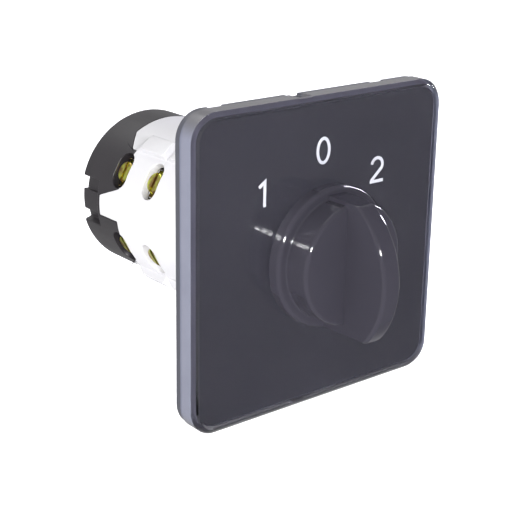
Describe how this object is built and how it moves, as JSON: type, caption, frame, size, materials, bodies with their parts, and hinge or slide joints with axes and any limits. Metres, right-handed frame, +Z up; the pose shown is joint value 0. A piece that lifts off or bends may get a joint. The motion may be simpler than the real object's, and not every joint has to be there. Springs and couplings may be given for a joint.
{
  "type": "battery switch",
  "caption": "Panel-mounted rotary battery changeover switch with a square plate, a dial marked 1, 0 and 2, an arched grip knob and round contact stages behind.",
  "frame": {"origin": "shaft axis in the plane where the front plate's back meets the panel, the centre of the four panel holes", "axes": "+Y along the shaft away from the knob, into the panel; +Z up, through the numeral 0; +X to the right as seen from the knob"},
  "size_m": [0.064, 0.082, 0.064],
  "materials": {
    "clear_plastic": "clear moulded polycarbonate, glossy",
    "legend_black": "printed black sheet, smooth",
    "numeral_white": "white print",
    "base_grey": "dark grey moulded",
    "knob_black": "glossy black moulded",
    "black_plastic": "satin black moulded",
    "white_plastic": "white moulded, satin",
    "cam_plastic": "red moulded",
    "plunger_plastic": "natural moulded",
    "zinc_steel": "zinc plated",
    "spring_steel": "spring steel",
    "yellow_zinc": "yellow passivated zinc",
    "contact_brass": "pressed brass, silver faced"
  },
  "bodies": {
    "frame": {"clear_cover": "clear_plastic", "legend_plate": "legend_black", "numerals": "numeral_white", "base_plate": "base_grey", "plate_screws": "zinc_steel", "latch_housing": "black_plastic", "latch_cover": "black_plastic", "detent_spring_upper": "spring_steel", "detent_spring_lower": "spring_steel", "end_housing": "black_plastic", "tie_bolts": "zinc_steel", "front_stage_housing": "white_plastic", "front_terminal_screws": "yellow_zinc", "front_clamp_washers": "yellow_zinc", "front_contact_upper_left": "contact_brass", "front_contact_upper_right": "contact_brass", "front_contact_lower_left": "contact_brass", "front_contact_lower_right": "contact_brass", "rear_stage_housing": "white_plastic", "rear_terminal_screws": "yellow_zinc", "rear_clamp_washers": "yellow_zinc", "rear_contact_upper_left": "contact_brass", "rear_contact_upper_right": "contact_brass", "rear_contact_lower_left": "contact_brass", "rear_contact_lower_right": "contact_brass"},
    "selector": {"knob": "knob_black", "knob_set_screw": "zinc_steel", "shaft": "zinc_steel", "detent_wheel": "plunger_plastic", "stop_disc": "zinc_steel", "front_cam": "cam_plastic", "rear_cam": "cam_plastic"},
    "front_upper_contact": {"front_plunger_upper": "plunger_plastic", "front_bridge_upper": "contact_brass", "front_spring_upper": "spring_steel"},
    "front_lower_contact": {"front_plunger_lower": "plunger_plastic", "front_bridge_lower": "contact_brass", "front_spring_lower": "spring_steel"},
    "rear_upper_contact": {"rear_plunger_upper": "plunger_plastic", "rear_bridge_upper": "contact_brass", "rear_spring_upper": "spring_steel"},
    "rear_lower_contact": {"rear_plunger_lower": "plunger_plastic", "rear_bridge_lower": "contact_brass", "rear_spring_lower": "spring_steel"}
  },
  "joints": [
    {"name": "selector_turn", "type": "hinge", "parent": "frame", "child": "selector", "pos_m": [0, 0, 0], "axis": [0, 1, 0], "range_deg": [-45, 45], "deforming": ["detent_spring_upper", "detent_spring_lower"]},
    {"name": "front_upper_contact_slide", "type": "slide", "parent": "frame", "child": "front_upper_contact", "axis": [0, 0, 1], "range_m": [-0.0013, 0.0013], "deforming": ["front_spring_upper"]},
    {"name": "front_lower_contact_slide", "type": "slide", "parent": "frame", "child": "front_lower_contact", "axis": [0, 0, 1], "range_m": [-0.0013, 0.0013], "deforming": ["front_spring_lower"]},
    {"name": "rear_upper_contact_slide", "type": "slide", "parent": "frame", "child": "rear_upper_contact", "axis": [0, 0, 1], "range_m": [-0.0013, 0.0013], "deforming": ["rear_spring_upper"]},
    {"name": "rear_lower_contact_slide", "type": "slide", "parent": "frame", "child": "rear_lower_contact", "axis": [0, 0, 1], "range_m": [-0.0013, 0.0013], "deforming": ["rear_spring_lower"]}
  ],
  "couplings": [
    {"joint": "front_upper_contact_slide", "follows": "selector_turn", "m_per_rad": 0.001655},
    {"joint": "front_lower_contact_slide", "follows": "selector_turn", "m_per_rad": 0.001655},
    {"joint": "rear_upper_contact_slide", "follows": "selector_turn", "m_per_rad": 0.001655},
    {"joint": "rear_lower_contact_slide", "follows": "selector_turn", "m_per_rad": 0.001655}
  ]
}
